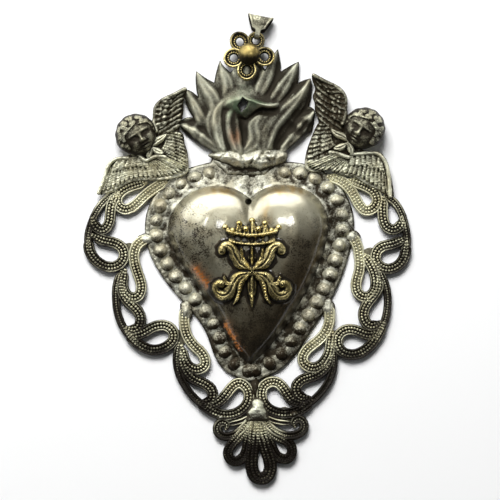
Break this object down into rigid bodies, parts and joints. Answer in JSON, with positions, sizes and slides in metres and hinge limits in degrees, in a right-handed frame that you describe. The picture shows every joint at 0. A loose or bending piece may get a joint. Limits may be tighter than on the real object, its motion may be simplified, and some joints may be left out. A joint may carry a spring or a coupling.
{
  "type": "milagro charm",
  "caption": "Sacred-heart votive pendant: puffed heart on a beaded flange, flames, winged cherub heads, openwork scrolls, a shell foot, and a swivelling flower with a strap bail.",
  "frame": {"origin": "on the back face of the back plate, near its middle", "axes": "+X to the right as seen from the front, +Y to the bail, +Z out of the front"},
  "size_m": [0.0821, 0.1183, 0.0103],
  "materials": {
    "silver": "worn silver with dark patina in the hollows",
    "blackened_silver": "blackened silver, bright where it is rubbed",
    "solder": "rough solder",
    "gilt": "worn gilding"
  },
  "bodies": {
    "charm": {"back_plate": "silver", "bead_border": "silver", "heart_dome": "silver", "neck_saddle": "silver", "neck_collar": "silver", "flame_plate": "silver", "cherub_left_wings": "silver", "cherub_left_head": "silver", "cherub_right_wings": "silver", "cherub_right_head": "silver", "scroll_upper_left": "blackened_silver", "scroll_middle_left": "blackened_silver", "scroll_lower_left": "blackened_silver", "scroll_upper_right": "blackened_silver", "scroll_middle_right": "blackened_silver", "scroll_lower_right": "blackened_silver", "shell_palmette": "blackened_silver", "shell_boss": "solder", "solder_patches": "solder", "gilt_crown": "gilt", "gilt_scrolls": "gilt", "ornament_pins": "gilt", "flower_rivet": "gilt", "flower_spacer": "gilt", "rivet_washer": "gilt"},
    "flower": {"flower_petals": "gilt"},
    "bail": {"bail": "silver"}
  },
  "joints": [
    {"name": "flower_swivel", "type": "hinge", "parent": "charm", "child": "flower", "pos_m": [0.00025, 0.0489, 0.0028], "axis": [0, 0, 1], "range_deg": [-40, 60]},
    {"name": "bail_swing", "type": "hinge", "parent": "flower", "child": "bail", "pos_m": [0.00231, 0.05385, 0.0028], "axis": [0.9816, -0.1908, 0], "range_deg": [-90, 115]}
  ]
}
